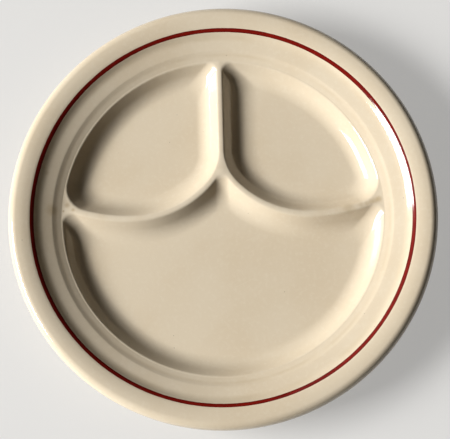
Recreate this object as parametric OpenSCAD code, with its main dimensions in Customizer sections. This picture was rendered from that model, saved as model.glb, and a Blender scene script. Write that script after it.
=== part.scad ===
// Divided grill plate of glazed hotel china: two small wells and a large one, parted by a Y of low ridges.
// Sizes are in millimetres. The plate stands on its foot ring at z = 0, centred on the z axis,
// and the ridge between the two small wells runs along +Y.

/* [Plate] */
// Outer diameter over the rolled edge
plate_d = 248; // [236:1:272]
// Thickness of the well floors over the base
floor_t = 6; // [5:0.1:8]
// Thickness straight down under the land
land_t = 7; // [6:0.1:8.5]

/* [Rim] */
// Width of the rolled rim, from its shoulder to the edge
rim_w = 13.3; // [12:0.1:16]
// Height of the edge
rim_t = 9.8; // [9:0.1:11]
// Rounding of the edge, above and below
edge_round = 4.6; // [3.5:0.1:4.8]
// Distance of the crown of the rim from the edge
crown_set = 8.5; // [7.5:0.1:9.5]
// Rounding of the crown
crown_round = 20; // [15:1:28]
// Slope of the rim top, from the shoulder to the crown
rim_slope = 14; // [11:0.5:16]
// Slope of the rim top, from the crown to the edge
crown_slope = 1; // [0:0.5:2]
// Rounding of the shoulder
shoulder_round = 5.8; // [4:0.1:6.5]
// Slope of the cove that climbs to the shoulder
cove_slope = 38; // [34:1:44]
// Width of the cove's steep side, between its sharp corners
cove_w = 4.4; // [4:0.1:6]
// Rounding at the foot of the cove
cove_round = 12; // [10:0.5:16]
// Distance of the bend in the underside from the edge
under_set = 26; // [24:0.5:30]
// Rounding of the bend in the underside
under_round = 25; // [15:1:35]

/* [Verge and land] */
// Width of the verge, from the cove to the step
verge_w = 7.4; // [6.5:0.1:9]
// Slope of the verge
verge_slope = 16; // [12:0.5:19]
// Width of the step between verge and land
step_w = 1.4; // [1:0.1:1.7]
// Height of the step
step_h = 0.85; // [0.7:0.05:1.2]
// Rounding of the step, at its head and foot
step_round = 1.8; // [1:0.1:2]
// Width of the sloping land, inside the step
land_w = 3.8; // [3:0.1:5]
// Width of the level lip between the land and the wells
lip_w = 0.4; // [0.3:0.1:1.2]
// Slope of the land
land_slope = 24; // [20:0.5:26]

/* [Wells] */
// Depth of the wells below the ridges
well_depth = 7.8; // [7:0.1:9.5]
// Slope of the walls
wall_slope = 46; // [42:1:52]
// Rounding of the wells' edges
brink_round = 2.5; // [1.6:0.1:3]
// Rounding where the walls meet the floor
floor_round = 12.5; // [9:0.5:16]
// Radius of a small well's corner by the straight ridge
top_corner = 5.5; // [4.5:0.5:10]
// Radius of a small well's corner by the end of an arm
end_corner = 14; // [11:0.5:18]
// Radius of the large well's upper corners
wide_corner = 5.5; // [4:0.5:9]
// Radius of the large well's peak under the fork of the ridges
fork_corner = 5; // [4:0.5:8]
// Radius of all the corners where the walls have reached the floor
floor_corner = 7; // [6:0.5:12]

/* [Ridges] */
// Flat width left on top of the ridges
ridge_w = 2.4; // [1.4:0.1:3.4]
// Radius of the bend from the straight ridge into each arm
bend_r = 30; // [26:0.5:34]
// Radius of the arms, from the bend to their lowest point
arm_r = 60; // [57:0.5:66]
// Radius of the arms, from their lowest point to their end
tail_r = 104; // [90:1:120]
// Distance of an arm's lowest point from the middle
arm_low_x = 52; // [49:0.5:55]
// Height of an arm's lowest point above the middle
arm_low_y = 0.3; // [-3:0.1:4]

/* [Foot] */
// Outer diameter of the foot ring
foot_d = 157.2; // [148:0.2:164]
// Width of the foot ring
foot_w = 4.4; // [3.6:0.1:6]
// Height of the foot ring under the base
foot_h = 3; // [2.4:0.1:4]
// Lean of the foot's outer side
foot_lean = 0.6; // [0.3:0.1:1]
// Lean of the foot's inner side
foot_lean_in = 1.6; // [1:0.1:2.5]
// Rounding of the foot's edges
foot_round = 1; // [0.6:0.1:1.2]
// Rounding where the foot joins the base and the underside
foot_cove = 2; // [1:0.1:2.4]
// Height of the bare band round the foot
foot_bare = 0.9; // [0.5:0.1:1.5]

/* [Glaze and line] */
// Thickness of the glaze
glaze_t = 0.3; // [0.25:0.05:0.5]
// Distance of the line's middle from the edge
line_set = 13.8; // [12.5:0.1:15]
// Width of the line
line_w = 2.2; // [1.5:0.1:3]

/* [Hidden] */

body_colour = [0.86, 0.80, 0.70];
glaze_colour = [0.87, 0.81, 0.71];
line_colour = [0.55, 0.11, 0.08];

// Largest turn of one facet in a rounded corner of the section
corner_step = 12;
// Slope at which a well's edge runs out onto the land
brink_slope = 20;
// Slope at which the hollows leave their rounded edge above the land, and how far they rise from there
leave_slope = 16;
leave_h = 0.6;
// Facets of a well along its arcs, and down its edge and its floor rounding
outer_facets = 16;
wide_facets = 36;
corner_facets = 6;
bend_facets = 6;
arm_facets = 8;
tail_facets = 6;
brink_facets = 2;
floor_facets = 6;
// Segments of the turned surfaces
turn_facets = 180;

rim_r = plate_d / 2;
shoulder_r = rim_r - rim_w;
cove_r = shoulder_r - cove_w;
verge_r = cove_r - verge_w;
step_r = verge_r - step_w;
land_r = step_r - land_w;
well_r = land_r - lip_w;
foot_r = foot_d / 2;
line_r = rim_r - line_set;

floor_z = foot_h + floor_t;
land_z = floor_z + well_depth;
step_z = land_z + land_w * tan(land_slope);
verge_z = step_z + step_h;
cove_z = verge_z + verge_w * tan(verge_slope);
shoulder_z = cove_z + cove_w * tan(cove_slope);
crown_z = shoulder_z + (rim_w - crown_set) * tan(rim_slope);
rim_z = crown_z + crown_set * tan(crown_slope);
under_z = step_z - land_t;

arm_c = [arm_low_x, arm_low_y + arm_r];
tail_c = [arm_low_x, arm_low_y + tail_r];
bend_c = [bend_r, arm_c[1] - sqrt(pow(arm_r - bend_r, 2) - pow(arm_low_x - bend_r, 2))];

// Half section of the plate, from the middle of the base round the edge to the middle of the top:
// each corner is a radius, a height and a rounding
section = [
    [0, foot_h, 0],
    [foot_r - foot_w - foot_lean_in, foot_h, foot_cove],
    [foot_r - foot_w, 0, foot_round],
    [foot_r, 0, foot_round],
    [foot_r + foot_lean, foot_h, foot_cove],
    [rim_r - under_set, under_z, under_round],
    [rim_r, rim_z - rim_t, edge_round],
    [rim_r, rim_z, edge_round],
    [rim_r - crown_set, crown_z, crown_round],
    [shoulder_r, shoulder_z, shoulder_round],
    [cove_r, cove_z, cove_round],
    [verge_r, verge_z, step_round],
    [step_r, step_z, step_round],
    [land_r, land_z, 0],
    [0, land_z, 0]
];

function flat(p) = [p[0], p[1]];
function unit(v) = v / norm(v);
function left_of(v) = [-v[1], v[0]];
function dir(a) = [cos(a), sin(a)];
function heading(v) = atan2(v[1], v[0]);

// Unit direction of the side of a chain that starts at corner i
function side(c, i) = unit(flat(c[i + 1]) - flat(c[i]));
// Turn of a chain at corner i, positive to the left
function turn_at(c, i) = (heading(side(c, i)) - heading(side(c, i - 1)) + 540) % 360 - 180;

// Corner i of a chain moved in by a skin, to the left of both of its sides
function inset_corner(c, i, skin) =
    let (half = turn_at(c, i) / 2, out = unit(side(c, i) + side(c, i - 1)))
    flat(c[i]) + left_of(out) * skin / cos(half);

// The same section under a skin: roundings that bulge shrink and hollow ones grow
function inset_chain(c, skin) = [
    for (i = [0 : len(c) - 1])
        i == 0 ? [c[i][0], c[i][1] + skin, 0] :
        i == len(c) - 1 ? [c[i][0], c[i][1] - skin, 0] :
        let (p = inset_corner(c, i, skin), round = c[i][2])
        [p[0], p[1], round == 0 ? 0 : round - sign(turn_at(c, i)) * skin]
];

// Points of a rounded corner of a chain
function corner_points(c, i) =
    let (turn = turn_at(c, i), round = c[i][2])
    round == 0 ? [flat(c[i])] :
    let (
        start = flat(c[i]) - side(c, i - 1) * round * tan(abs(turn) / 2),
        to_centre = left_of(side(c, i - 1)) * sign(turn),
        centre = start + to_centre * round,
        count = ceil(abs(turn) / corner_step)
    )
    [for (k = [0 : count]) centre + round * dir(heading(-to_centre) + turn * k / count)];

// All the points of a chain, with its corners rounded
function chain_points(c) = [
    flat(c[0]),
    for (i = [1 : len(c) - 2]) each corner_points(c, i),
    flat(c[len(c) - 1])
];

// Middle of the rounding of a well's edge, as a distance in from the edge and a height
brink_c = [-brink_round * sin(brink_slope), land_z - brink_round * cos(brink_slope)];
brink_end = brink_c + brink_round * [sin(wall_slope), cos(wall_slope)];
// Middle of the rounding between wall and floor
bowl_z = floor_z + floor_round;
bowl_start_z = bowl_z - floor_round * cos(wall_slope);
bowl_inset = brink_end[0] + (brink_end[1] - bowl_start_z) / tan(wall_slope) + floor_round * sin(wall_slope);
bowl_c = [bowl_inset, bowl_z];

// Wall of a well under a skin, from above the land down to the floor:
// each step is a distance in from the edge and a height
function wall_steps(skin) =
    let (
        top = brink_c + (brink_round - skin) * [sin(leave_slope), cos(leave_slope)]
    )
    [
        top + [0, leave_h],
        for (k = [0 : brink_facets])
            let (a = leave_slope + (wall_slope - leave_slope) * k / brink_facets)
            brink_c + (brink_round - skin) * [sin(a), cos(a)],
        for (k = [0 : floor_facets])
            let (a = wall_slope * (1 - k / floor_facets))
            bowl_c - (floor_round + skin) * [sin(a), cos(a)]
    ];

// Radius of a well's corner at a distance in from its edge
function corner_at(corner, inset) =
    inset < 0 ? corner - inset : corner + (floor_corner - corner) * min(1, inset / bowl_inset);

// Point at one distance from the middle of the plate and at another from c, on the right of the line to c
function meet(c, from_middle, from_c) =
    let (
        gap = norm(c),
        along = (pow(from_middle, 2) - pow(from_c, 2) + pow(gap, 2)) / (2 * gap),
        across = sqrt(pow(from_middle, 2) - pow(along, 2))
    )
    (along * c + across * [c[1], -c[0]]) / gap;

// Points of an arc without its first one, which ends the arc before it
function arc(c, r, from, to, facets, first = 1) =
    [for (k = [first : facets]) c + r * dir(from + (to - from) * k / facets)];

// Outline of the right-hand small well at a distance in from its edge, anticlockwise
function small_outline(inset) =
    let (
        aside = ridge_w / 2 + inset,
        outer_r = well_r - inset,
        top_r = corner_at(top_corner, inset),
        end_r = corner_at(end_corner, inset),
        top_c = [aside + top_r, sqrt(pow(outer_r - top_r, 2) - pow(aside + top_r, 2))],
        end_c = meet(tail_c, outer_r - end_r, tail_r - aside - end_r),
        bend_end = heading(bend_c - arm_c) + 360,
        tail_end = heading(end_c - tail_c) + 360
    )
    concat(
        arc([0, 0], outer_r, heading(end_c), heading(top_c), outer_facets),
        arc(top_c, top_r, heading(top_c), 180, corner_facets),
        arc(bend_c, bend_r - aside, 180, bend_end, bend_facets, 0),
        arc(arm_c, arm_r - aside, bend_end, 270, arm_facets),
        arc(tail_c, tail_r - aside, 270, tail_end, tail_facets),
        arc(end_c, end_r, tail_end, heading(end_c) + 360, corner_facets)
    );

// Outline of the large well at a distance in from its edge, anticlockwise
function large_outline(inset) =
    let (
        aside = ridge_w / 2 + inset,
        outer_r = well_r - inset,
        wide_r = corner_at(wide_corner, inset),
        fork_r = corner_at(fork_corner, inset),
        wide_c = meet(tail_c, outer_r - wide_r, tail_r + aside + wide_r),
        fork_c = [0, arm_c[1] - sqrt(pow(arm_r + aside + fork_r, 2) - pow(arm_c[0], 2))],
        start = heading(wide_c),
        tail_from = heading(wide_c - tail_c),
        arm_to = heading(fork_c - arm_c)
    )
    concat(
        arc([0, 0], outer_r, 180 - start, 360 + start, wide_facets),
        arc(wide_c, wide_r, start, tail_from + 180, corner_facets),
        arc(tail_c, tail_r + aside, tail_from, -90, tail_facets),
        arc(arm_c, arm_r + aside, -90, arm_to, arm_facets),
        arc(fork_c, fork_r, arm_to + 180, -arm_to, corner_facets),
        arc([-arm_c[0], arm_c[1]], arm_r + aside, 180 - arm_to, 270, arm_facets),
        arc([-tail_c[0], tail_c[1]], tail_r + aside, 270, 180 - tail_from, tail_facets),
        arc([-wide_c[0], wide_c[1]], wide_r, -tail_from, 180 - start, corner_facets)
    );

// Mean of a list of points
function mean(points) = [for (p = points) 1] * points / len(points);

// Solid through a stack of outlines with as many points each, the first one on top
module loft(outlines, heights) {
    count = len(outlines[0]);
    last = len(outlines) - 1;
    base = last * count;
    middle = (last + 1) * count;
    points = [
        for (i = [0 : last]) for (p = outlines[i]) [p[0], p[1], heights[i]],
        for (i = [0, last]) [each mean(outlines[i]), heights[i]]
    ];
    faces = [
        for (i = [0 : last - 1])
            for (k = [0 : count - 1])
                let (a = i * count + k, b = i * count + (k + 1) % count)
                each [[a, b, b + count], [a, b + count, a + count]],
        for (k = [0 : count - 1]) [middle, (k + 1) % count, k],
        for (k = [0 : count - 1]) [middle + 1, base + k, base + (k + 1) % count]
    ];
    polyhedron(points, faces);
}

// The hollow of the right-hand small well, under a skin
module small_well(skin) {
    steps = wall_steps(skin);
    loft([for (s = steps) small_outline(s[0])], [for (s = steps) s[1]]);
}

// The hollow of the large well, under a skin
module large_well(skin) {
    steps = wall_steps(skin);
    loft([for (s = steps) large_outline(s[0])], [for (s = steps) s[1]]);
}

// Half section of the whole plate, glaze and all
module whole_section() polygon(chain_points(section));

// Half section of the body: the section under the glaze, and the whole foot up to its bare band
module body_section() {
    polygon(chain_points(inset_chain(section, glaze_t)));
    intersection() {
        whole_section();
        translate([0, -foot_h]) square([rim_r, foot_h + foot_bare]);
    }
}

// The band in the half section that the line takes up, from inside the body to over the rim
module line_band() {
    translate([line_r - line_w / 2, rim_z - rim_t / 2]) square([line_w, rim_t]);
}

// The body, with its wells
module body_solid() {
    difference() {
        rotate_extrude($fn = turn_facets) body_section();
        small_well(glaze_t);
        mirror([1, 0, 0]) small_well(glaze_t);
        large_well(glaze_t);
    }
}

// Vitrified body, with the rim, the ridges and the bare foot in one piece
module plate_body() {
    color(body_colour) body_solid();
}

// Coat of glaze over the body, open at the foot and where the line lies
module glaze_coat() {
    color(glaze_colour)
    difference() {
        rotate_extrude($fn = turn_facets) whole_section();
        small_well(0);
        mirror([1, 0, 0]) small_well(0);
        large_well(0);
        body_solid();
        rotate_extrude($fn = turn_facets) line_band();
    }
}

// Banded line, fired into the glaze and level with it
module rim_line() {
    color(line_colour)
    rotate_extrude($fn = turn_facets)
    intersection() {
        line_band();
        difference() {
            whole_section();
            body_section();
        }
    }
}

plate_body();
glaze_coat();
rim_line();
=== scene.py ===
"""Dresses the divided grill plate: glazed china with three wells, a Y of ridges and one banded line.

Sizes are in millimetres, as in the solid model, until a piece is finished in metres.
"""

import logging
import math
from dataclasses import dataclass, field
from enum import Enum
from functools import cached_property
from typing import Any, Callable, Optional, Union

import bmesh
import bpy
from mathutils import Matrix, Vector


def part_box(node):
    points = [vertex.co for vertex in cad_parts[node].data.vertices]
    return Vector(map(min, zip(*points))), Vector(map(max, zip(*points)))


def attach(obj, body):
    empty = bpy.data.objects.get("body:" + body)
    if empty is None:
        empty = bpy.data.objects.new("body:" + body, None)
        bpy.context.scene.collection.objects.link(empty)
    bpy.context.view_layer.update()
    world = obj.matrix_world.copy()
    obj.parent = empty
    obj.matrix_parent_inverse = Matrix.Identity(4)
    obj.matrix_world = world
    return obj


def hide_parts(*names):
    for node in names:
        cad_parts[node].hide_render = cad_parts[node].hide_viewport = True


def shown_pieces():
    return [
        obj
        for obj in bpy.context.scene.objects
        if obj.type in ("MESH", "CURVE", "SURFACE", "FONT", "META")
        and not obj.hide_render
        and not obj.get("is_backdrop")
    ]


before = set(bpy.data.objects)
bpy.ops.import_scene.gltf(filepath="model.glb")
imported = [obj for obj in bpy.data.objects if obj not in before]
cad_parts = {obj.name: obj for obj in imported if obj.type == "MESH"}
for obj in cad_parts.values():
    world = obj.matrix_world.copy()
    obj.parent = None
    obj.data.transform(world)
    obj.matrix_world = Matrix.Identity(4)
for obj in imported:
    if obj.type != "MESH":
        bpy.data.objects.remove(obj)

log = logging.getLogger("divided_plate")

MM = 0.001
BODY = "root"
NOISE_MIDDLE = 0.5

Colour = tuple[float, float, float, float]
Span = tuple[float, float]
Value = Union["Signal", float]
Run = list[Vector]


def heading(v: Vector) -> float:
    """Angle of a direction in the plane, in radians."""
    return math.atan2(v.y, v.x)


def towards(angle: float) -> Vector:
    """Unit direction in the plane at an angle in radians."""
    return Vector((math.cos(angle), math.sin(angle)))


@dataclass(frozen=True)
class Corner:
    """Corner of the half section: its radius, its height and the rounding there."""

    r: float
    z: float
    rounding: float = 0.0

    @property
    def point(self) -> Vector:
        """The sharp corner as a point in the half section."""
        return Vector((self.r, self.z))

    def arc(self, before: "Corner", after: "Corner", turn_step: float) -> Run:
        """Points of the rounded corner.

        Args:
            before: The corner that the side before this one comes from.
            after: The corner that the side after this one goes to.
            turn_step: Largest turn between two points, in radians.

        Returns:
            The points from one side's end to the other's start.
        """
        if self.rounding == 0.0:
            return [self.point]
        along = (self.point - before.point).normalized()
        onward = (after.point - self.point).normalized()
        turn = math.atan2(along.cross(onward), along.dot(onward))
        start = self.point - along * self.rounding * math.tan(abs(turn) / 2)
        to_centre = Vector((-along.y, along.x)) * math.copysign(self.rounding, turn)
        centre = start + to_centre
        count = math.ceil(abs(turn) / turn_step)
        return [centre - Matrix.Rotation(turn * k / count, 2) @ to_centre for k in range(count + 1)]


def straight(start: Vector, end: Vector, reach: float) -> Run:
    """Points along a straight side, without its start.

    Args:
        start: Where the side starts.
        end: Where the side ends.
        reach: Largest distance between two points.

    Returns:
        The points after the start, with the end as the last.
    """
    count = max(1, math.ceil((end - start).length / reach))
    return [start.lerp(end, k / count) for k in range(1, count + 1)]


def rounded_run(corners: list[Corner], turn_step: float, reach: float) -> Run:
    """Points along a chain of straight sides with rounded corners.

    Args:
        corners: The chain's corners, whose first and last stay sharp.
        turn_step: Largest turn between two points of a rounding, in radians.
        reach: Largest distance between two points of a straight side.

    Returns:
        The points of the whole chain.
    """
    points = [corners[0].point]
    for before, corner, after in zip(corners, corners[1:], corners[2:]):
        bend = corner.arc(before, after, turn_step)
        points += straight(points[-1], bend[0], reach) + bend[1:]
    return points + straight(points[-1], corners[-1].point, reach)


def cut(points: Run, measure: Callable[[Vector], float]) -> tuple[Run, Run]:
    """Cuts a run of points where a measure first falls below zero.

    Args:
        points: The run.
        measure: Gives a number for a point.

    Returns:
        The stretches before and after the cut, which share the point there.
    """
    for index, (here, there) in enumerate(zip(points, points[1:])):
        first, second = measure(here), measure(there)
        if first >= 0.0 > second:
            edge = here.lerp(there, first / (first - second))
            return points[: index + 1] + [edge], [edge] + points[index + 1 :]
    raise ValueError("the run never crosses the cut")


class Stretch(Enum):
    """Stretches of the half section that the coat and the line cover."""

    BASE = "glaze_base"
    OUTSIDE = "glaze_outside"
    LINE = "banded_line"
    DISH = "glaze_dish"


@dataclass(frozen=True)
class PlateSection:
    """Half section of the plate's glaze: that of the solid model, eased where the glaze has run."""

    rim_r: float
    foot_h: float = 3.0
    floor_t: float = 6.0
    land_t: float = 7.0
    rim_w: float = 13.3
    rim_t: float = 9.8
    edge_round: float = 4.6
    crown_set: float = 7.3
    crown_round: float = 25.5
    rim_slope: float = 12.0
    crown_slope: float = 1.0
    shoulder_round: float = 10.0
    cove_slope: float = 38.0
    cove_w: float = 4.4
    cove_round: float = 12.0
    under_set: float = 26.0
    under_round: float = 25.0
    verge_w: float = 7.3
    verge_slope: float = 17.1
    step_w: float = 2.2
    step_h: float = 1.145
    step_round: float = 5.0
    step_foot_round: float = 18.0
    land_w: float = 3.3
    land_slope: float = 21.0
    lip_w: float = 0.2
    lip_edge: float = 0.12
    well_depth: float = 7.8
    foot_d: float = 157.2
    foot_w: float = 4.4
    foot_lean: float = 0.6
    foot_lean_in: float = 1.6
    foot_round: float = 1.0
    foot_cove: float = 2.0
    foot_bare: float = 0.9
    line_set: float = 13.8
    line_w: float = 2.2
    glaze_t: float = 0.3
    segments: int = 320
    turn_step: float = math.radians(3.0)
    reach: float = 1.6

    @property
    def floor_z(self) -> float:
        """Height of the well floors."""
        return self.foot_h + self.floor_t

    @property
    def land_z(self) -> float:
        """Height of the lip round the wells."""
        return self.floor_z + self.well_depth

    @property
    def land_r(self) -> float:
        """Radius at which the lip meets the sloping land."""
        return self.rim_r - self.rim_w - self.cove_w - self.verge_w - self.step_w - self.land_w

    @property
    def well_r(self) -> float:
        """Radius of the wells' outer edges."""
        return self.land_r - self.lip_w

    @property
    def line_r(self) -> float:
        """Radius of the middle of the line."""
        return self.rim_r - self.line_set

    def corners(self, lip_z: float) -> list[Corner]:
        """The chain of corners from the middle of the base round the edge to the lip.

        Args:
            lip_z: Height at which the land runs out level.

        Returns:
            The corners in order.
        """
        def climb(width: float, slope: float) -> float:
            """Height gained over a width at a slope in degrees."""
            return width * math.tan(math.radians(slope))

        foot_r = self.foot_d / 2
        shoulder_r = self.rim_r - self.rim_w
        cove_r = shoulder_r - self.cove_w
        verge_r = cove_r - self.verge_w
        step_r = verge_r - self.step_w
        step_z = self.land_z + climb(self.land_w, self.land_slope)
        verge_z = step_z + self.step_h
        cove_z = verge_z + climb(self.verge_w, self.verge_slope)
        shoulder_z = cove_z + climb(self.cove_w, self.cove_slope)
        crown_z = shoulder_z + climb(self.rim_w - self.crown_set, self.rim_slope)
        rim_z = crown_z + climb(self.crown_set, self.crown_slope)
        lip_r = step_r - (step_z - lip_z) / climb(1.0, self.land_slope)
        return [
            Corner(0.0, self.foot_h),
            Corner(foot_r - self.foot_w - self.foot_lean_in, self.foot_h, self.foot_cove),
            Corner(foot_r - self.foot_w, 0.0, self.foot_round),
            Corner(foot_r, 0.0, self.foot_round),
            Corner(foot_r + self.foot_lean, self.foot_h, self.foot_cove),
            Corner(self.rim_r - self.under_set, step_z - self.land_t, self.under_round),
            Corner(self.rim_r, rim_z - self.rim_t, self.edge_round),
            Corner(self.rim_r, rim_z, self.edge_round),
            Corner(self.rim_r - self.crown_set, crown_z, self.crown_round),
            Corner(shoulder_r, shoulder_z, self.shoulder_round),
            Corner(cove_r, cove_z, self.cove_round),
            Corner(verge_r, verge_z, self.step_round),
            Corner(step_r, step_z, self.step_foot_round),
            Corner(lip_r + self.lip_edge, lip_z + climb(self.lip_edge, self.land_slope)),
            Corner(lip_r, lip_z),
        ]

    def stretches(self, lip_z: float) -> dict[Stretch, Run]:
        """Cuts the section at the bare foot and at both edges of the line.

        Args:
            lip_z: Height at which the land runs out level.

        Returns:
            The points of each stretch.
        """
        run = rounded_run(self.corners(lip_z), self.turn_step, self.reach)
        base, rest = cut(run, lambda p: p.y - self.foot_bare)
        _, rest = cut(rest, lambda p: self.foot_bare - p.y)
        outside, rest = cut(rest, lambda p: p.x - self.line_r - self.line_w / 2)
        line, dish = cut(rest, lambda p: p.x - self.line_r + self.line_w / 2)
        return {Stretch.BASE: base, Stretch.OUTSIDE: outside, Stretch.LINE: line, Stretch.DISH: dish}


@dataclass(frozen=True)
class Arc:
    """An arc in plan, from one angle to another, in radians, with its number of facets."""

    centre: Vector
    radius: float
    start: float
    end: float
    facets: int

    def points(self) -> Run:
        """Points of the arc without its last, where the next arc starts."""
        turn = (self.end - self.start) / self.facets
        return [self.centre + self.radius * towards(self.start + turn * k) for k in range(self.facets)]

    def mirrored(self) -> "Arc":
        """The same arc on the other side of the plate, so that it still runs anticlockwise round a well."""
        centre = Vector((-self.centre.x, self.centre.y))
        return Arc(centre, self.radius, math.pi - self.end, math.pi - self.start, self.facets)


@dataclass(frozen=True)
class Wells:
    """The three wells: their outlines at any distance in from the edge, and their walls' profile."""

    section: PlateSection
    wall_slope: float = math.radians(46.0)
    brink_round: float = 2.5
    brink_slope: float = math.radians(20.0)
    crest_slope: float = math.radians(13.0)
    floor_round: float = 12.5
    floor_margin: float = 0.8
    top_corner: float = 5.5
    end_corner: float = 14.0
    wide_corner: float = 5.5
    fork_corner: float = 5.0
    floor_corner: float = 7.0
    ridge_w: float = 2.4
    bend_r: float = 30.0
    arm_r: float = 60.0
    tail_r: float = 104.0
    arm_low_x: float = 52.0
    arm_low_y: float = 0.3
    brink_rings: int = 8
    wall_rings: int = 3
    floor_rings: int = 16
    outer_facets: int = 76
    wide_facets: int = 170
    corner_facets: int = 18
    end_facets: int = 24
    ridge_facets: int = 22
    bend_facets: int = 22
    arm_facets: int = 32
    tail_facets: int = 24

    @property
    def arm_c(self) -> Vector:
        """Centre of the right-hand arm's arc, from the bend to its lowest point."""
        return Vector((self.arm_low_x, self.arm_low_y + self.arm_r))

    @property
    def tail_c(self) -> Vector:
        """Centre of the right-hand arm's arc, from its lowest point to its end."""
        return Vector((self.arm_low_x, self.arm_low_y + self.tail_r))

    @property
    def bend_c(self) -> Vector:
        """Centre of the bend from the straight ridge into the right-hand arm."""
        rise = math.sqrt((self.arm_r - self.bend_r) ** 2 - (self.arm_low_x - self.bend_r) ** 2)
        return Vector((self.bend_r, self.arm_c.y - rise))

    def wall(self) -> list[tuple[float, float]]:
        """Profile of a wall, from the crest of its edge to a margin on the floor.

        Returns:
            Pairs of a distance in from the edge and a height.
        """
        def square_to(slope: float) -> Vector:
            """Unit direction square to a surface that falls at a slope."""
            return Vector((math.sin(slope), math.cos(slope)))

        def rounding(centre: Vector, radius: float, start: float, end: float, rings: int) -> Run:
            """Points of a rounding from one slope to another."""
            turn = (end - start) / rings
            return [centre + radius * square_to(start + turn * k) for k in range(rings + 1)]

        land = Vector((0.0, self.section.land_z))
        brink_c = land - self.brink_round * square_to(self.brink_slope)
        brink_end = brink_c + self.brink_round * square_to(self.wall_slope)
        bowl_side = self.floor_round * square_to(self.wall_slope)
        bowl_z = self.section.floor_z + self.floor_round
        fall = brink_end.y - (bowl_z - bowl_side.y)
        bowl_c = Vector((brink_end.x + fall / math.tan(self.wall_slope) + bowl_side.x, bowl_z))
        steps = rounding(brink_c, self.brink_round, self.crest_slope, self.wall_slope, self.brink_rings)
        bowl = rounding(bowl_c, -self.floor_round, self.wall_slope, 0.0, self.floor_rings)
        steps += [brink_end.lerp(bowl[0], k / self.wall_rings) for k in range(1, self.wall_rings)] + bowl
        steps.append(steps[-1] + Vector((self.floor_margin, 0.0)))
        return [(step.x, step.y) for step in steps]

    @property
    def lip_z(self) -> float:
        """Height of the level lip, at the crest of the wells' edges."""
        return self.wall()[0][1]

    def corner_at(self, corner: float, inset: float) -> float:
        """Radius of a corner at a distance in from the edge.

        Args:
            corner: The corner's radius at the edge.
            inset: Distance in from the edge.

        Returns:
            The radius there, which ends as that of the floor's corners.
        """
        if inset < 0.0:
            return corner - inset
        full = self.wall()[-2][0]
        return corner + (self.floor_corner - corner) * min(1.0, inset / full)

    @staticmethod
    def meet(centre: Vector, from_middle: float, from_centre: float) -> Vector:
        """Point at given distances from the middle of the plate and from a centre, on its right.

        Args:
            centre: The centre.
            from_middle: Distance from the middle of the plate.
            from_centre: Distance from the centre.

        Returns:
            The point.
        """
        gap = centre.length
        along = (from_middle ** 2 - from_centre ** 2 + gap ** 2) / (2 * gap)
        across = math.sqrt(from_middle ** 2 - along ** 2)
        return (along * centre + across * Vector((centre.y, -centre.x))) / gap

    def small_outline(self, inset: float) -> Run:
        """Outline of the right-hand small well, anticlockwise.

        Args:
            inset: Distance in from the edge.

        Returns:
            The outline's points.
        """
        aside = self.ridge_w / 2 + inset
        outer_r = self.section.well_r - inset
        top_r = self.corner_at(self.top_corner, inset)
        end_r = self.corner_at(self.end_corner, inset)
        top_c = Vector((aside + top_r, math.sqrt((outer_r - top_r) ** 2 - (aside + top_r) ** 2)))
        end_c = self.meet(self.tail_c, outer_r - end_r, self.tail_r - aside - end_r)
        full = 2 * math.pi
        low = 1.5 * math.pi
        bend_end = heading(self.bend_c - self.arm_c) + full
        tail_end = heading(end_c - self.tail_c) + full
        top_end = Vector((aside, top_c.y))
        bend_start = Vector((aside, self.bend_c.y))
        runs = [
            Arc(Vector((0.0, 0.0)), outer_r, heading(end_c), heading(top_c), self.outer_facets).points(),
            Arc(top_c, top_r, heading(top_c), math.pi, self.corner_facets).points(),
            [top_end.lerp(bend_start, k / self.ridge_facets) for k in range(self.ridge_facets)],
            Arc(self.bend_c, self.bend_r - aside, math.pi, bend_end, self.bend_facets).points(),
            Arc(self.arm_c, self.arm_r - aside, bend_end, low, self.arm_facets).points(),
            Arc(self.tail_c, self.tail_r - aside, low, tail_end, self.tail_facets).points(),
            Arc(end_c, end_r, tail_end, heading(end_c) + full, self.end_facets).points(),
        ]
        return [p for run in runs for p in run]

    def large_outline(self, inset: float) -> Run:
        """Outline of the large well, anticlockwise.

        Args:
            inset: Distance in from the edge.

        Returns:
            The outline's points.
        """
        aside = self.ridge_w / 2 + inset
        outer_r = self.section.well_r - inset
        wide_r = self.corner_at(self.wide_corner, inset)
        fork_r = self.corner_at(self.fork_corner, inset)
        wide_c = self.meet(self.tail_c, outer_r - wide_r, self.tail_r + aside + wide_r)
        arm_r, tail_r = self.arm_r + aside, self.tail_r + aside
        fork_c = Vector((0.0, self.arm_c.y - math.sqrt((arm_r + fork_r) ** 2 - self.arm_c.x ** 2)))
        start = heading(wide_c)
        tail_from = heading(wide_c - self.tail_c)
        arm_to = heading(fork_c - self.arm_c)
        half = math.pi
        side = [
            Arc(wide_c, wide_r, start, tail_from + half, self.corner_facets),
            Arc(self.tail_c, tail_r, tail_from, -half / 2, self.tail_facets),
            Arc(self.arm_c, arm_r, -half / 2, arm_to, self.arm_facets),
        ]
        outer = Arc(Vector((0.0, 0.0)), outer_r, half - start, 2 * half + start, self.wide_facets)
        fork = Arc(fork_c, fork_r, arm_to + half, -arm_to, self.corner_facets)
        arcs = [outer, *side, fork, *(arc.mirrored() for arc in reversed(side))]
        return [p for arc in arcs for p in arc.points()]


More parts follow.
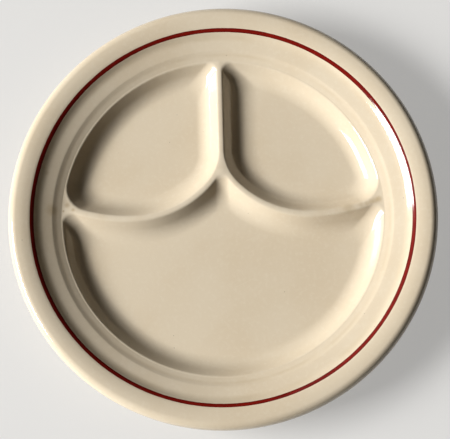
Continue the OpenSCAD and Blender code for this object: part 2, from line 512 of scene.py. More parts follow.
class Bench:
    """Modelling steps that the pieces share, each done with Blender's own operators.

    The gaps, in millimetres, are those within which points count as one, or as level.
    """

    MERGE_GAP: float = 0.0005
    LEVEL_GAP: float = 0.002
    SMOOTH_ANGLE: float = math.radians(40.0)

    @staticmethod
    def clear() -> None:
        """Leaves edit mode and deselects every object."""
        if bpy.context.object and bpy.context.object.mode != "OBJECT":
            bpy.ops.object.mode_set(mode="OBJECT")
        bpy.ops.object.select_all(action="DESELECT")

    @classmethod
    def pick(cls, *pieces: bpy.types.Object) -> None:
        """Selects pieces and nothing else, the first of them active."""
        cls.clear()
        for piece in pieces:
            piece.select_set(True)
        bpy.context.view_layer.objects.active = pieces[0]

    @staticmethod
    def named(name: str) -> bpy.types.Object:
        """Names the new active object and its mesh, and enters edit mode with all of it selected.

        Args:
            name: The name.

        Returns:
            The object.
        """
        piece = bpy.context.object
        piece.name = name
        piece.data.name = name
        bpy.ops.object.mode_set(mode="EDIT")
        bpy.ops.mesh.select_all(action="SELECT")
        return piece

    @classmethod
    def turn(cls, name: str, run: Run, segments: int) -> bpy.types.Object:
        """Draws a run of the half section point by point and spins it round the plate's axis.

        Args:
            name: Name of the new object.
            run: Points of the half section.
            segments: Segments round the axis.

        Returns:
            The turned surface, in object mode.
        """
        cls.clear()
        bpy.ops.mesh.primitive_plane_add(size=1.0, location=(0.0, 0.0, 0.0))
        piece = cls.named(name)
        bpy.ops.mesh.merge(type="CENTER")
        places = [Vector((p.x, 0.0, p.y)) for p in run]
        bpy.ops.transform.translate(value=places[0])
        for here, there in zip(places, places[1:]):
            bpy.ops.mesh.extrude_region_move(TRANSFORM_OT_translate={"value": there - here})
        bpy.ops.mesh.select_all(action="SELECT")
        bpy.ops.mesh.spin(steps=segments, angle=2 * math.pi, center=(0, 0, 0), axis=(0, 0, 1))
        bpy.ops.mesh.select_all(action="SELECT")
        bpy.ops.mesh.remove_doubles(threshold=cls.MERGE_GAP)
        bpy.ops.object.mode_set(mode="OBJECT")
        return piece

    @classmethod
    def bowl(cls, name: str, rings: list[list[Vector]]) -> bpy.types.Object:
        """Extrudes a ring down a wall, ring by ring, and closes the floor.

        Args:
            name: Name of the new object.
            rings: Places of the rings' points, from the crest to the floor.

        Returns:
            The bowl, in object mode, open at its crest.
        """
        cls.clear()
        bpy.ops.mesh.primitive_circle_add(vertices=len(rings[0]), radius=1.0)
        piece = cls.named(name)
        loop = bmesh.from_edit_mesh(piece.data)
        ids = list(range(len(rings[0])))
        loop.verts.ensure_lookup_table()
        for index, place in zip(ids, rings[0]):
            loop.verts[index].co = place
        for ring in rings[1:]:
            bpy.ops.mesh.extrude_region_move()
            ids = cls.seat_copies(piece, ids, ring)
        bpy.ops.mesh.edge_face_add()
        bpy.ops.object.mode_set(mode="OBJECT")
        return piece

    @staticmethod
    def seat_copies(piece: bpy.types.Object, ids: list[int], places: list[Vector]) -> list[int]:
        """Puts the copies that an extrusion has made of a loop's points at their places.

        Args:
            piece: The object in edit mode.
            ids: Indices of the loop's points, in order.
            places: The places of their copies.

        Returns:
            Indices of the copies, in the same order.
        """
        mesh = bmesh.from_edit_mesh(piece.data)
        mesh.verts.index_update()
        mesh.verts.ensure_lookup_table()
        copies = []
        for index, place in zip(ids, places):
            point = mesh.verts[index]
            copy = next(e.other_vert(point) for e in point.link_edges if e.other_vert(point).select)
            copy.co = place
            copies.append(copy.index)
        bmesh.update_edit_mesh(piece.data)
        return copies

    @classmethod
    def join(cls, main: bpy.types.Object, others: list[bpy.types.Object]) -> None:
        """Joins other objects into a main one."""
        cls.pick(main, *others)
        bpy.ops.object.join()

    @classmethod
    def mirrored(cls, piece: bpy.types.Object, name: str) -> bpy.types.Object:
        """Copies a piece to the other side of the plate, with a mesh of its own.

        Args:
            piece: The piece, in object mode.
            name: Name of the copy.

        Returns:
            The copy, in object mode.
        """
        cls.pick(piece)
        bpy.ops.object.duplicate(linked=False)
        copy = cls.named(name)
        bpy.ops.transform.resize(value=(-1.0, 1.0, 1.0), center_override=(0.0, 0.0, 0.0))
        bpy.ops.object.mode_set(mode="OBJECT")
        return copy

    @classmethod
    def fill_level(cls, piece: bpy.types.Object, height: float) -> None:
        """Fills the space between all the open loops that lie at one height.

        Args:
            piece: The object, in object mode.
            height: The height of the loops.
        """
        cls.pick(piece)
        bpy.ops.object.mode_set(mode="EDIT")
        bpy.ops.mesh.select_mode(type="EDGE")
        bpy.ops.mesh.select_all(action="DESELECT")
        mesh = bmesh.from_edit_mesh(piece.data)
        for edge in mesh.edges:
            level = all(abs(v.co.z - height) < cls.LEVEL_GAP for v in edge.verts)
            edge.select_set(edge.is_boundary and level)
        bmesh.update_edit_mesh(piece.data)
        bpy.ops.mesh.fill(use_beauty=True)
        bpy.ops.mesh.select_mode(type="VERT")
        bpy.ops.object.mode_set(mode="OBJECT")

    @classmethod
    def finish(cls, piece: bpy.types.Object, probe: Vector, outward: Vector, thickness: float) -> None:
        """Turns a surface outwards, takes it to metres, gives it its thickness and smooths it.

        Args:
            piece: The object, in object mode, in millimetres.
            probe: A point near a face whose direction is known.
            outward: The direction in which that face looks.
            thickness: Thickness of the layer under the surface.
        """
        cls.pick(piece)
        bpy.ops.object.mode_set(mode="EDIT")
        bpy.ops.mesh.select_all(action="SELECT")
        bpy.ops.mesh.normals_make_consistent(inside=False)
        mesh = bmesh.from_edit_mesh(piece.data)
        face = min(mesh.faces, key=lambda f: (f.calc_center_median() - probe).length)
        if face.normal.dot(outward) < 0.0:
            bpy.ops.mesh.flip_normals()
        bpy.ops.transform.resize(value=(MM, MM, MM), center_override=(0.0, 0.0, 0.0))
        bpy.ops.object.mode_set(mode="OBJECT")
        layer = piece.modifiers.new("layer", "SOLIDIFY")
        layer.thickness = thickness * MM
        layer.offset = -1.0
        layer.use_even_offset = True
        bpy.ops.object.modifier_apply(modifier=layer.name)
        bpy.ops.object.shade_smooth_by_angle(angle=cls.SMOOTH_ANGLE)


@dataclass(frozen=True)
class Grain:
    """Noise of a finish: features in a metre, layers of finer noise and the share of each layer."""

    scale: float
    detail: float = 2.0
    roughness: float = 0.5


@dataclass(frozen=True)
class TurnedGrain:
    """Noise drawn out round the plate: features in a radian of the turn and in a metre of radius."""

    along: float
    across: float = 0.0
    detail: float = 2.0
    roughness: float = 0.5


@dataclass(frozen=True)
class Relief:
    """How much of a fine relief shows, and its depth in millimetres."""

    strength: float
    depth: float


class Signal:
    """Output of a node that can stand in sums and products, which add Math nodes to its tree."""

    def __init__(self, sheet: "NodeSheet", socket: bpy.types.NodeSocket) -> None:
        """Keeps the socket and the sheet that it is on."""
        self.sheet = sheet
        self.socket = socket

    def _math(self, operation: str, *values: Value) -> "Signal":
        """Adds a Math node on one or two values."""
        return self.sheet.node("ShaderNodeMath", {"operation": operation}, dict(enumerate(values)))

    def __add__(self, other: Value) -> "Signal":
        """Sum."""
        return self._math("ADD", self, other)

    def __radd__(self, other: Value) -> "Signal":
        """Sum with a number on the left."""
        return self._math("ADD", other, self)

    def __sub__(self, other: Value) -> "Signal":
        """Difference."""
        return self._math("SUBTRACT", self, other)

    def __rsub__(self, other: Value) -> "Signal":
        """Difference from a number on the left."""
        return self._math("SUBTRACT", other, self)

    def __mul__(self, other: Value) -> "Signal":
        """Product."""
        return self._math("MULTIPLY", self, other)

    def __rmul__(self, other: Value) -> "Signal":
        """Product with a number on the left."""
        return self._math("MULTIPLY", other, self)

    def __abs__(self) -> "Signal":
        """Size without sign."""
        return self._math("ABSOLUTE", self)


class NodeSheet:
    """Node tree of one material, with the place on the plate that its patterns read."""

    def __init__(self, name: str) -> None:
        """Makes the material and empties its tree.

        Args:
            name: The material's name.
        """
        self.material = bpy.data.materials.new(name)
        self.material.use_nodes = True
        self.tree = self.material.node_tree
        self.tree.nodes.clear()

    def node(
        self,
        kind: str,
        settings: Optional[dict[str, Any]] = None,
        inputs: Optional[dict[Union[int, str], Any]] = None,
        output: Union[int, str] = 0,
    ) -> Signal:
        """Adds a node.

        Args:
            kind: The node's type.
            settings: Its settings, set before its sockets.
            inputs: Values or links of its sockets, by name or place.
            output: The output that is wanted, by name or place.

        Returns:
            That output.
        """
        made = self.tree.nodes.new(kind)
        for key, value in (settings or {}).items():
            setattr(made, key, value)
        for key, value in (inputs or {}).items():
            if isinstance(value, Signal):
                self.tree.links.new(value.socket, made.inputs[key])
            else:
                made.inputs[key].default_value = value
        return Signal(self, made.outputs[output])

    def vector(self, operation: str, *values: Any, output: Union[int, str] = 0) -> Signal:
        """Adds a Vector Math node."""
        return self.node("ShaderNodeVectorMath", {"operation": operation}, dict(enumerate(values)), output)

    @cached_property
    def place(self) -> Signal:
        """Place on the object, in metres, which is that on the plate."""
        return self.node("ShaderNodeTexCoord", output="Object")

    @cached_property
    def level(self) -> Signal:
        """The place without its height."""
        return self.vector("MULTIPLY", self.place, (1.0, 1.0, 0.0))

    @cached_property
    def radius(self) -> Signal:
        """Distance of the place from the plate's axis."""
        return self.vector("LENGTH", self.level, output="Value")

    @cached_property
    def height(self) -> Signal:
        """Height of the place."""
        return self.node("ShaderNodeSeparateXYZ", inputs={0: self.place}, output="Z")

    def ramp(self, value: Value, low: float, high: float) -> Signal:
        """Smooth rise from 0 at one value to 1 at another, or fall where the first is larger."""
        if low > high:
            return 1.0 - self.ramp(value, high, low)
        return self.node(
            "ShaderNodeMapRange",
            {"interpolation_type": "SMOOTHSTEP"},
            {"Value": value, "From Min": low, "From Max": high},
        )

    def ramp_mm(self, value: Value, low: float, high: float) -> Signal:
        """Ramp on a value in metres between two lengths in millimetres."""
        return self.ramp(value, low * MM, high * MM)

    def heights(self, datum: float, span: Span) -> Signal:
        """Mask by height, over a span in millimetres that is measured from a datum."""
        return self.ramp_mm(self.height, datum + span[0], datum + span[1])

    def off_ring(self, radius: float) -> Signal:
        """Distance, in metres, from a ring round the axis whose radius is in millimetres."""
        return abs(self.radius - radius * MM)

    @staticmethod
    def either(first: Value, second: Value) -> Signal:
        """Two masks in one, which adds up where both show and never passes 1."""
        return 1.0 - (1.0 - first) * (1.0 - second)

    def noise(self, grain: Grain, vector: Optional[Signal] = None) -> Signal:
        """Noise from 0 to 1.

        Args:
            grain: Its settings.
            vector: What it reads, if not the place itself.

        Returns:
            The noise's value.
        """
        inputs = {
            "Vector": self.place if vector is None else vector,
            "Scale": grain.scale,
            "Detail": grain.detail,
            "Roughness": grain.roughness,
        }
        return self.node("ShaderNodeTexNoise", inputs=inputs)

    def turned_noise(self, grain: TurnedGrain) -> Signal:
        """Noise drawn out round the plate, without a seam.

        Args:
            grain: Its settings.

        Returns:
            The noise's value, from 0 to 1.
        """
        outwards = self.vector("NORMALIZE", self.level)
        across = self.node("ShaderNodeCombineXYZ", inputs={"Z": self.radius * grain.across})
        band = self.vector("MULTIPLY_ADD", outwards, (grain.along, grain.along, 0.0), across)
        return self.noise(Grain(scale=1.0, detail=grain.detail, roughness=grain.roughness), band)

    def streaks(self, angle: float, along: float, across: float) -> Signal:
        """Noise drawn out into straight streaks.

        Args:
            angle: Direction of the streaks, in radians.
            along: Features in a metre along them.
            across: Features in a metre across them.

        Returns:
            The noise's value, from 0 to 1.
        """
        turn = {"Vector": self.place, "Rotation": (0.0, 0.0, angle)}
        turned = self.node("ShaderNodeMapping", {"vector_type": "TEXTURE"}, turn)
        return self.noise(Grain(scale=1.0), self.vector("MULTIPLY", turned, (along, across, along)))

    def cells(self, scale: float) -> tuple[Signal, Signal]:
        """Scattered points.

        Args:
            scale: Points along a metre.

        Returns:
            The distance to the nearest point, in parts of a cell, and a chance from 0 to 1 of its own.
        """
        inputs = {"Vector": self.place, "Scale": scale}
        away = self.node("ShaderNodeTexVoronoi", inputs=inputs, output="Distance")
        tint = Signal(self, away.socket.node.outputs["Color"])
        return away, self.node("ShaderNodeSeparateColor", inputs={0: tint})

    def mix(self, share: Value, first: Any, second: Any) -> Signal:
        """Mixes two colours.

        Args:
            share: Share of the second, from 0 to 1.
            first: Colour, or output with one.
            second: Colour, or output with one.

        Returns:
            The mixed colour.
        """
        return self.node("ShaderNodeMix", {"data_type": "RGBA"}, {0: share, 6: first, 7: second}, 2)

    def bump(self, height: Signal, relief: Relief, onto: Optional[Signal] = None) -> Signal:
        """Normal of a surface with fine relief.

        Args:
            height: The relief's heights, from 0 to 1.
            relief: Its strength and depth.
            onto: Normal of a coarser relief under it.

        Returns:
            The normal.
        """
        inputs = {"Height": height, "Strength": relief.strength, "Distance": relief.depth * MM}
        if onto is not None:
            inputs["Normal"] = onto
        return self.node("ShaderNodeBump", inputs=inputs)

    def surface(self, inputs: dict[str, Any]) -> bpy.types.Material:
        """Ends the tree with a surface shader.

        Args:
            inputs: Values and links of the shader's sockets.

        Returns:
            The finished material.
        """
        self.node_output(self.node("ShaderNodeBsdfPrincipled", inputs=inputs))
        return self.material

    def node_output(self, shader: Signal) -> None:
        """Links a shader to the material's output."""
        out = self.tree.nodes.new("ShaderNodeOutputMaterial")
        self.tree.links.new(shader.socket, out.inputs["Surface"])


@dataclass(frozen=True)
class FiredGloss:
    """What the glaze and the enamel share: a glassy surface with gentle waves.

    In the finishes, sizes are in millimetres, and a span runs from where something starts to show to
    where it shows in full.
    """

    ior: float = 1.58
    waves: Grain = Grain(55.0, 1.0, 0.4)
    wave_relief: Relief = Relief(0.12, 0.4)

    def waved(self, sheet: NodeSheet) -> Signal:
        """Normal of the surface with its waves."""
        return sheet.bump(sheet.noise(self.waves), self.wave_relief)


@dataclass(frozen=True)
class LineEnamel(FiredGloss):
    """Maroon enamel of the banded line, laid with a brush while the plate turned."""

    red: Colour = (0.215, 0.009, 0.005, 1.0)
    dark: Colour = (0.095, 0.004, 0.003, 1.0)
    gloss: float = 0.085
    haze: Grain = Grain(240.0)
    haze_dulls: float = 0.05
    wobbles: TurnedGrain = TurnedGrain(7.0, 0.0, 3.0, 0.6)
    wobble: float = 0.34
    softness: float = 0.07
    above: float = 19.0
    above_fade: float = 1.0
    streaks: TurnedGrain = TurnedGrain(16.0, 2400.0, 3.0, 0.6)
    load: TurnedGrain = TurnedGrain(2.6)
    load_share: float = 0.5
    dense_span: Span = (0.55, 1.0)
    dense_share: float = 0.7
    gathered_span: Span = (0.45, 1.0)
    gathered_share: float = 0.6

    def cover(self, sheet: NodeSheet, section: PlateSection) -> Signal:
        """Where the brush left enamel, with the unsteady edges of a line drawn by hand.

        Args:
            sheet: The node tree.
            section: The plate's section, which places the line.

        Returns:
            1 on the line and 0 beside it.
        """
        unsteady = (sheet.turned_noise(self.wobbles) - NOISE_MIDDLE) * (self.wobble * MM)
        aside = sheet.off_ring(section.line_r) + unsteady
        half = section.line_w / 2
        inside = sheet.ramp_mm(aside, half + self.softness, half - self.softness)
        return inside * sheet.ramp_mm(sheet.height, self.above - self.above_fade, self.above)

    def colour(self, sheet: NodeSheet, section: PlateSection) -> Signal:
        """Colour of the enamel: brush streaks along the line, and more of it gathered at both edges.

        Args:
            sheet: The node tree.
            section: The plate's section, which places the line.

        Returns:
            The colour.
        """
        brushed = sheet.turned_noise(self.streaks) + sheet.turned_noise(self.load) * self.load_share
        dense = sheet.ramp(brushed, *self.dense_span) * self.dense_share
        gathered = sheet.ramp_mm(sheet.off_ring(section.line_r), *self.gathered_span) * self.gathered_share
        return sheet.mix(sheet.either(dense, gathered), self.red, self.dark)

    def make(self, section: PlateSection, ground: Colour) -> bpy.types.Material:
        """Makes the material.

        Args:
            section: The plate's section, which places the line.
            ground: Colour of the glaze that shows where the brush left none.

        Returns:
            The material.
        """
        sheet = NodeSheet("line_enamel")
        colour = sheet.mix(self.cover(sheet, section), ground, self.colour(sheet, section))
        gloss = self.gloss + self.haze_dulls * sheet.noise(self.haze)
        sockets = {"Base Color": colour, "Roughness": gloss, "IOR": self.ior, "Normal": self.waved(sheet)}
        return sheet.surface(sockets)


@dataclass(frozen=True)
class Stain:
    """Stain that has soaked into the glaze: its place in millimetres, its spread and its strength."""

    x: float
    y: float
    z: float
    spread: float
    strength: float


@dataclass(frozen=True)
class IvoryGlaze(FiredGloss):
    """Thick ivory glaze: mottling, pooling in hollows, specks, fine scratches and a little staining."""

    ivory: Colour = (0.705, 0.600, 0.445, 1.0)
    warm: Colour = (0.660, 0.540, 0.378, 1.0)
    pale: Colour = (0.750, 0.655, 0.505, 1.0)
    pooled: Colour = (0.600, 0.485, 0.325, 1.0)
    stain: Colour = (0.40, 0.275, 0.115, 1.0)
    speck: Colour = (0.16, 0.110, 0.060, 1.0)
    gloss: float = 0.07
    haze: Grain = Grain(160.0, 3.0, 0.6)
    haze_dulls: float = 0.05
    clouds: Grain = Grain(26.0, 3.0, 0.55)
    cloud_span: Span = (0.34, 0.74)
    cloud_share: float = 0.6
    grain: Grain = Grain(430.0, 2.0, 0.6)
    grain_span: Span = (0.46, 0.74)
    grain_share: float = 0.32
    step_pool: float = 1.5
    cove_pool: float = 2.6
    foot_pool: float = 1.8
    pool_above: Span = (-2.0, 0.0)
    pool_under: Span = (-1.0, -3.0)
    pool_runs: TurnedGrain = TurnedGrain(5.0, 40.0)
    pool_span: Span = (0.30, 0.70)
    pool_share: float = 0.5
    crest_fade: float = 1.2
    crest_reach: float = 1.0
    rubbing: Grain = Grain(95.0, 4.0, 0.65)
    rubbed_span: Span = (0.35, 0.65)
    rubbed_share: float = 0.45
    rubbed_dulls: float = 0.07
    floor_above: Span = (2.0, 0.5)
    floor_under: Span = (-1.0, 0.0)
    wear: Grain = Grain(34.0)
    worn_span: Span = (0.42, 0.66)
    scratch_ways: tuple[tuple[float, Span], ...] = ((24.0, (0.66, 0.76)), (108.0, (0.68, 0.78)))
    scratch_along: float = 30.0
    scratch_across: float = 1100.0
    scratch_share: float = 0.30
    scratch_dulls: float = 0.10
    ragged: Grain = Grain(420.0, 3.0, 0.65)
    raggedness: float = 0.48
    stain_core: float = 0.15
    speck_scale: float = 200.0
    speck_chance: Span = (0.84, 0.856)
    speck_size: Span = (0.32, 0.128)
    speck_share: float = 0.75
    ripple: Grain = Grain(300.0, 1.0, 0.4)
    ripple_relief: Relief = Relief(0.05, 0.1)
    rings: TurnedGrain = TurnedGrain(0.6, 520.0)
    ring_relief: Relief = Relief(0.10, 0.10)
    ring_fade: float = 6.0
    ring_under: Span = (-2.0, -4.0)
    stains: tuple[Stain, ...] = (
        Stain(90.6, 7.6, 17.0, 2.8, 0.42),
        Stain(88.4, 6.9, 16.9, 2.6, 0.34),
        Stain(86.0, 6.1, 16.8, 2.4, 0.32),
        Stain(83.4, 5.2, 16.8, 2.2, 0.30),
        Stain(80.4, 4.4, 16.6, 2.4, 0.26),
        Stain(73.0, 2.9, 16.5, 4.6, 0.32),
        Stain(61.3, -0.9, 16.0, 0.8, 0.50),
        Stain(-90.4, 9.2, 17.0, 2.2, 0.42),
        Stain(-92.6, 5.8, 17.2, 1.0, 0.70),
        Stain(-87.0, 6.4, 16.8, 1.6, 0.40),
        Stain(-98.6, 6.2, 19.3, 5.0, 0.45),
        Stain(-101.9, 28.0, 20.5, 2.4, 0.35),
        Stain(86.5, 83.7, 25.5, 1.2, 0.55),
    )

    def make(self, section: PlateSection, lip_z: float, line: LineEnamel) -> bpy.types.Material:
        """Makes the material.

        Args:
            section: The plate's section, which places the wear.
            lip_z: Height of the ridges' crests.
            line: The enamel, which the brush may have carried past the line's edges.

        Returns:
            The material.
        """
        sheet = NodeSheet("ivory_glaze")
        rubbed = self.rubbed(sheet, section, lip_z)
        scratches = self.scratches(sheet, section)
        worn = sheet.either(rubbed * self.rubbed_share, scratches * self.scratch_share)
        colour = self.mottled(sheet)
        colour = sheet.mix(self.hollows(sheet, section) * self.pool_share, colour, self.pooled)
        colour = sheet.mix(worn, colour, self.pale)
        colour = sheet.mix(self.stained(sheet), colour, self.stain)
        colour = sheet.mix(self.specks(sheet) * self.speck_share, colour, self.speck)
        colour = sheet.mix(line.cover(sheet, section), colour, line.colour(sheet, section))
        gloss = self.gloss + self.haze_dulls * sheet.noise(self.haze)
        gloss = gloss + self.rubbed_dulls * rubbed + self.scratch_dulls * scratches
        normal = self.relief(sheet, section)
        return sheet.surface({"Base Color": colour, "Roughness": gloss, "IOR": self.ior, "Normal": normal})

    def mottled(self, sheet: NodeSheet) -> Signal:
        """Colour of the glaze with its soft clouds and fine grain.

        Args:
            sheet: The node tree.

        Returns:
            The colour.
        """
        clouds = sheet.ramp(sheet.noise(self.clouds), *self.cloud_span) * self.cloud_share
        grain = sheet.ramp(sheet.noise(self.grain), *self.grain_span) * self.grain_share
        return sheet.mix(grain, sheet.mix(clouds, self.ivory, self.warm), self.pale)

    def hollows(self, sheet: NodeSheet, section: PlateSection) -> Signal:
        """Where the glaze has run thicker: at the feet of the cove and the step, and round the foot ring.

        Args:
            sheet: The node tree.
            section: The plate's section.

        Returns:
            1 in the hollows and 0 elsewhere.
        """
        pools = (
            (section.land_r + section.land_w, self.step_pool),
            (section.rim_r - section.rim_w - section.cove_w, self.cove_pool),
            (section.foot_d / 2 + section.foot_lean, self.foot_pool),
        )
        step, cove, foot = (sheet.ramp_mm(sheet.off_ring(r), width, 0.0) for r, width in pools)
        above = sheet.either(step, cove) * sheet.heights(section.land_z, self.pool_above)
        under = foot * sheet.heights(section.floor_z, self.pool_under)
        return sheet.either(above, under) * sheet.ramp(sheet.turned_noise(self.pool_runs), *self.pool_span)

    def rubbed(self, sheet: NodeSheet, section: PlateSection, lip_z: float) -> Signal:
        """Where the glaze is thin and rubbed: along the ridges and on the rim's outermost edge.

        Args:
            sheet: The node tree.
            section: The plate's section.
            lip_z: Height of the ridges' crests.

        Returns:
            1 where it is rubbed and 0 elsewhere.
        """
        reach = (section.land_r + self.crest_reach, section.well_r - self.crest_reach)
        ridge = sheet.heights(lip_z, (-self.crest_fade, 0.0)) * sheet.ramp_mm(sheet.radius, *reach)
        edge = sheet.ramp_mm(sheet.radius, section.rim_r - self.crest_fade, section.rim_r)
        return sheet.either(ridge, edge) * sheet.ramp(sheet.noise(self.rubbing), *self.rubbed_span)

    def scratches(self, sheet: NodeSheet, section: PlateSection) -> Signal:
        """Fine marks of cutlery on the floors of the wells.

        Args:
            sheet: The node tree.
            section: The plate's section.

        Returns:
            1 in a scratch and 0 elsewhere.
        """
        above = sheet.heights(section.floor_z, self.floor_above)
        floor = above * sheet.heights(section.floor_z, self.floor_under)
        worn = sheet.ramp(sheet.noise(self.wear), *self.worn_span)
        marks: Value = 0.0
        for angle, span in self.scratch_ways:
            streaks = sheet.streaks(math.radians(angle), self.scratch_along, self.scratch_across)
            marks = sheet.either(marks, sheet.ramp(streaks, *span))
        return marks * floor * worn

    def stained(self, sheet: NodeSheet) -> Signal:
        """Where stains have soaked in, with ragged edges.

        Args:
            sheet: The node tree.

        Returns:
            How much of the stain's colour shows, from 0 to 1.
        """
        ragged = sheet.noise(self.ragged) - NOISE_MIDDLE
        shown: Value = 0.0
        for stain in self.stains:
            spot = Vector((stain.x, stain.y, stain.z)) * MM
            away = sheet.vector("DISTANCE", sheet.place, spot, output="Value")
            away = away + ragged * (self.raggedness * stain.spread * MM)
            mark = sheet.ramp_mm(away, stain.spread, self.stain_core * stain.spread)
            shown = sheet.either(shown, mark * stain.strength)
        return shown

    def specks(self, sheet: NodeSheet) -> Signal:
        """Sparse dark specks that the body has sent up through the glaze.

        Args:
            sheet: The node tree.

        Returns:
            1 in a speck and 0 elsewhere.
        """
        away, chance = sheet.cells(self.speck_scale)
        spot = sheet.ramp_mm(away * (1.0 / self.speck_scale), *self.speck_size)
        return spot * sheet.ramp(chance, *self.speck_chance)

    def relief(self, sheet: NodeSheet, section: PlateSection) -> Signal:
        """Normal of the glaze: waves, a finer ripple, and faint rings of turning outside the wells.

        Args:
            sheet: The node tree.
            section: The plate's section.

        Returns:
            The normal.
        """
        ripple = sheet.bump(sheet.noise(self.ripple), self.ripple_relief, self.waved(sheet))
        outside = sheet.ramp_mm(sheet.radius, section.land_r, section.land_r + self.ring_fade)
        under = sheet.heights(section.floor_z, self.ring_under)
        rings = sheet.turned_noise(self.rings) * sheet.either(outside, under)
        return sheet.bump(rings, self.ring_relief, ripple)


@dataclass(frozen=True)
class BareClay:
    """Fired clay without glaze, ground level on the foot ring and grimed from use."""

    clay: Colour = (0.61, 0.51, 0.385, 1.0)
    dirt: Colour = (0.33, 0.255, 0.170, 1.0)
    pore: Colour = (0.16, 0.120, 0.080, 1.0)
    roughness: float = 0.70
    grime: Grain = Grain(110.0, 4.0, 0.6)
    grime_span: Span = (0.42, 0.78)
    grime_share: float = 0.6
    grime_dulls: float = 0.15
    rings: TurnedGrain = TurnedGrain(3.0, 2600.0, 2.0, 0.6)
    ring_span: Span = (0.5, 0.8)
    ring_share: float = 0.35
    ring_relief: Relief = Relief(0.30, 0.08)
    pore_scale: float = 900.0
    pore_span: Span = (0.30, 0.12)
    pore_share: float = 0.7
    pore_relief: Relief = Relief(0.35, 0.12)

    def make(self) -> bpy.types.Material:
        """Makes the material.

        Returns:
            The material.
        """
        sheet = NodeSheet("bare_clay")
        grime = sheet.ramp(sheet.noise(self.grime), *self.grime_span)
        rings = sheet.turned_noise(self.rings)
        ringed = sheet.ramp(rings, *self.ring_span) * self.ring_share
        away, _ = sheet.cells(self.pore_scale)
        pores = sheet.ramp(away, *self.pore_span)
        colour = sheet.mix(sheet.either(grime * self.grime_share, ringed), self.clay, self.dirt)
        colour = sheet.mix(pores * self.pore_share, colour, self.pore)
        roughness = self.roughness + self.grime_dulls * grime
        normal = sheet.bump(1.0 - pores, self.pore_relief, sheet.bump(rings, self.ring_relief))
        return sheet.surface({"Base Color": colour, "Roughness": roughness, "Normal": normal})


@dataclass
class GlazeCoat:
    """The coat of glaze, in three pieces: inside the foot, outside it up to the line, and the dish."""

    section: PlateSection
    wells: Wells
    pieces: dict[Stretch, bpy.types.Object] = field(default_factory=dict)

    def build(self) -> None:
        """Models the three pieces."""
        runs = self.section.stretches(self.wells.lip_z)
        for stretch in (Stretch.BASE, Stretch.OUTSIDE, Stretch.DISH):
            self.pieces[stretch] = Bench.turn(stretch.value, runs[stretch], self.section.segments)
        self.add_wells()
        land_z = self.section.land_z
        faces = {
            Stretch.BASE: (Vector((0.0, 0.0, 0.0)), Vector((0.0, 0.0, -1.0))),
            Stretch.OUTSIDE: (Vector((self.section.rim_r, 0.0, land_z)), Vector((1.0, 0.0, 0.0))),
            Stretch.DISH: (Vector((0.0, 0.0, land_z)), Vector((0.0, 0.0, 1.0))),
        }
        for stretch, (probe, outward) in faces.items():
            Bench.finish(self.pieces[stretch], probe, outward, self.section.glaze_t)

    def add_wells(self) -> None:
        """Models the wells, joins them to the dish and fills the level lip between them."""
        wall = self.wells.wall()
        small = Bench.bowl("small_well", [self.ring(self.wells.small_outline(i), z) for i, z in wall])
        other = Bench.mirrored(small, "small_well_left")
        large = Bench.bowl("large_well", [self.ring(self.wells.large_outline(i), z) for i, z in wall])
        dish = self.pieces[Stretch.DISH]
        Bench.join(dish, [small, other, large])
        Bench.fill_level(dish, self.wells.lip_z)

    @staticmethod
    def ring(outline: Run, height: float) -> list[Vector]:
        """Places of an outline's points at a height."""
        return [Vector((p.x, p.y, height)) for p in outline]

    def dress(self, finish: IvoryGlaze, line: LineEnamel) -> None:
        """Gives the pieces their glaze, hangs them on the plate's body and hides the solid model's coat,
        which they stand in for.

        Args:
            finish: The glaze.
            line: The enamel of the line that runs beside it.
        """
        material = finish.make(self.section, self.wells.lip_z, line)
        for piece in self.pieces.values():
            piece.data.materials.clear()
            piece.data.materials.append(material)
            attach(piece, BODY)
            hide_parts("glaze_coat")


@dataclass
class BandedLine:
    """The line fired into the glaze on the shoulder of the rim."""

    section: PlateSection
    lip_z: float
    piece: Optional[bpy.types.Object] = None

    def build(self) -> None:
        """Models the line."""
        run = self.section.stretches(self.lip_z)[Stretch.LINE]
        self.piece = Bench.turn(Stretch.LINE.value, run, self.section.segments)
        probe = Vector((run[0].x, 0.0, run[0].y))
        Bench.finish(self.piece, probe, Vector((0.0, 0.0, 1.0)), self.section.glaze_t)

    def dress(self, finish: LineEnamel, ground: Colour) -> None:
        """Gives the line its enamel, hangs it on the plate's body and hides the solid model's line, which
        it stands in for.

        Args:
            finish: The enamel.
            ground: Colour of the glaze under it.
        """
        self.piece.data.materials.clear()
        self.piece.data.materials.append(finish.make(self.section, ground))
        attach(self.piece, BODY)
        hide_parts("rim_line")


@dataclass
class PlateBody:
    """The fired body, which shows only where its foot ring is bare."""

    node: str = "plate_body"

    def dress(self, finish: BareClay) -> None:
        """Gives the body its bare clay.

        Args:
            finish: The clay.
        """
        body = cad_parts[self.node]
        body.data.materials.clear()
        body.data.materials.append(finish.make())


@dataclass(frozen=True)
class SoftLamp:
    """Rectangular lamp that faces the plate; angles are in degrees."""

    name: str
    azimuth: float
    height: float
    size: tuple[float, float]
    power: float
    distance: float = 5.0

    def hang(self) -> None:
        """Adds the lamp to the scene, turned to the plate."""
        lamp = bpy.data.lights.new(self.name, "AREA")
        lamp.shape = "RECTANGLE"
        lamp.size, lamp.size_y = self.size
        lamp.energy = self.power
        hung = bpy.data.objects.new(self.name, lamp)
        azimuth, height = math.radians(self.azimuth), math.radians(self.height)
        level = towards(azimuth) * math.cos(height)
        back = Vector((level.x, level.y, math.sin(height)))
        hung.location = back * self.distance
        hung.rotation_euler = back.to_track_quat("Z", "Y").to_euler()
        bpy.context.scene.collection.objects.link(hung)


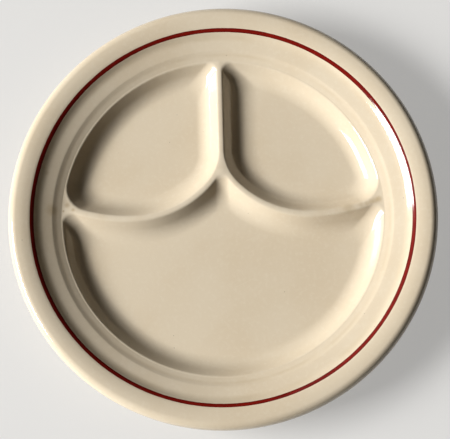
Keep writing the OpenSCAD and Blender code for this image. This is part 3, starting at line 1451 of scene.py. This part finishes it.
@dataclass
class Studio:
    """Camera at the photograph's angle, a window-like key lamp, a weak and wide side lamp, and a floor."""

    target: Vector = field(default_factory=lambda: Vector((1.25, -3.13, 23.0)) * MM)
    distance: float = 1.0
    tilt: float = math.radians(11.26)
    azimuth: float = math.radians(3.9)
    up_lean: float = math.radians(1.49)
    lens: float = 138.9
    sensor: float = 36.0
    key: SoftLamp = SoftLamp("key", 184.8, 29.4, (2.60, 1.60), 500.0)
    side: SoftLamp = SoftLamp("side", 140.0, 38.0, (6.00, 5.00), 18.0)
    ambient: float = 0.004
    ambient_colour: Colour = (1.0, 0.97, 0.93, 1.0)
    floor_size: float = 6.0
    floor_colour: Colour = (0.72, 0.71, 0.69, 1.0)
    floor_glow: Colour = (0.78, 0.77, 0.75, 1.0)
    glow_share: float = 0.5

    def build(self) -> None:
        """Sets up the camera, the lights, the world and the floor."""
        self.add_camera()
        self.key.hang()
        self.side.hang()
        self.add_world()
        self.add_floor()
        bpy.context.scene.view_settings.view_transform = "Standard"

    def add_camera(self) -> None:
        """Adds the camera, rolled as the photograph is."""
        back = Vector((
            math.sin(self.tilt) * math.sin(self.azimuth),
            -math.sin(self.tilt) * math.cos(self.azimuth),
            math.cos(self.tilt),
        ))
        upwards = Vector((math.sin(self.up_lean), math.cos(self.up_lean), 0.0))
        right = upwards.cross(back).normalized()
        up = back.cross(right)
        lens = bpy.data.cameras.new("camera")
        lens.lens = self.lens
        lens.sensor_width = self.sensor
        camera = bpy.data.objects.new("camera", lens)
        turn = Matrix((right, up, back)).transposed().to_4x4()
        camera.matrix_world = Matrix.Translation(self.target + back * self.distance) @ turn
        bpy.context.scene.collection.objects.link(camera)
        bpy.context.scene.camera = camera

    def add_world(self) -> None:
        """Gives the world a weak, even fill."""
        world = bpy.data.worlds.new("fill")
        world.use_nodes = True
        background = world.node_tree.nodes["Background"]
        background.inputs["Color"].default_value = self.ambient_colour
        background.inputs["Strength"].default_value = self.ambient
        bpy.context.scene.world = world

    def add_floor(self) -> None:
        """Adds the floor, which glows for the camera and keeps half of each shadow."""
        Bench.clear()
        bpy.ops.mesh.primitive_plane_add(size=self.floor_size, location=(0.0, 0.0, 0.0))
        floor = bpy.context.object
        floor.name = "studio_floor"
        sheet = NodeSheet("studio_floor")
        lit = {"Base Color": self.floor_colour, "Roughness": 1.0, "Specular IOR Level": 0.0}
        seen = [
            sheet.node("ShaderNodeLightPath", output=ray)
            for ray in ("Is Camera Ray", "Is Glossy Ray", "Is Transmission Ray")
        ]
        layers = {
            0: (seen[0] + seen[1] + seen[2]) * self.glow_share,
            1: sheet.node("ShaderNodeBsdfPrincipled", inputs=lit),
            2: sheet.node("ShaderNodeEmission", inputs={"Color": self.floor_glow, "Strength": 1.0}),
        }
        sheet.node_output(sheet.node("ShaderNodeMixShader", inputs=layers))
        floor.data.materials.append(sheet.material)
        floor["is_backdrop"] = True


def main() -> None:
    """Builds the plate and the studio."""
    logging.basicConfig(level=logging.INFO, format="%(name)s: %(message)s")
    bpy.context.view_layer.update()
    section = PlateSection(rim_r=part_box("glaze_coat")[1].x / MM)
    wells = Wells(section)
    coat = GlazeCoat(section, wells)
    coat.build()
    glaze, enamel = IvoryGlaze(), LineEnamel()
    coat.dress(glaze, enamel)
    line = BandedLine(section, wells.lip_z)
    line.build()
    line.dress(enamel, glaze.ivory)
    PlateBody().dress(BareClay())
    Studio().build()
    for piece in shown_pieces():
        log.info("%s: %d faces", piece.name, len(piece.data.polygons))
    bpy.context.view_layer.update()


if __name__ == "__main__":
    main()
